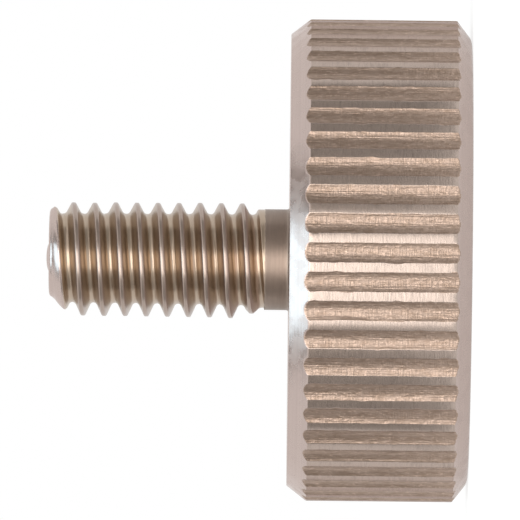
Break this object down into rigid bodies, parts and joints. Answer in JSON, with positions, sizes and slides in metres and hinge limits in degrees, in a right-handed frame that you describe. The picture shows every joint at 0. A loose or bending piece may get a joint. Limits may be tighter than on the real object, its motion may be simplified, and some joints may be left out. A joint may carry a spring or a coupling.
{
  "type": "wheel bolt",
  "caption": "Thumb bolt turned in one piece: a thick wheel-shaped head with a straight-knurled rim and chamfered faces, a short plain neck and a rolled right-hand metric thread.",
  "frame": {"origin": "on the bolt's axis, in the outer face of the head, which it stands on", "axes": "+Z along the bolt's axis, from the head to the tip; +X through the middle of one knurl groove"},
  "size_m": [0.016, 0.016, 0.0141],
  "materials": {
    "turned_metal": "turned and knurled, tarnished warm in the grooves and the thread, bright on the lands and chamfers"
  },
  "bodies": {
    "root": {"wheel_bolt": "turned_metal"}
  },
  "joints": []
}
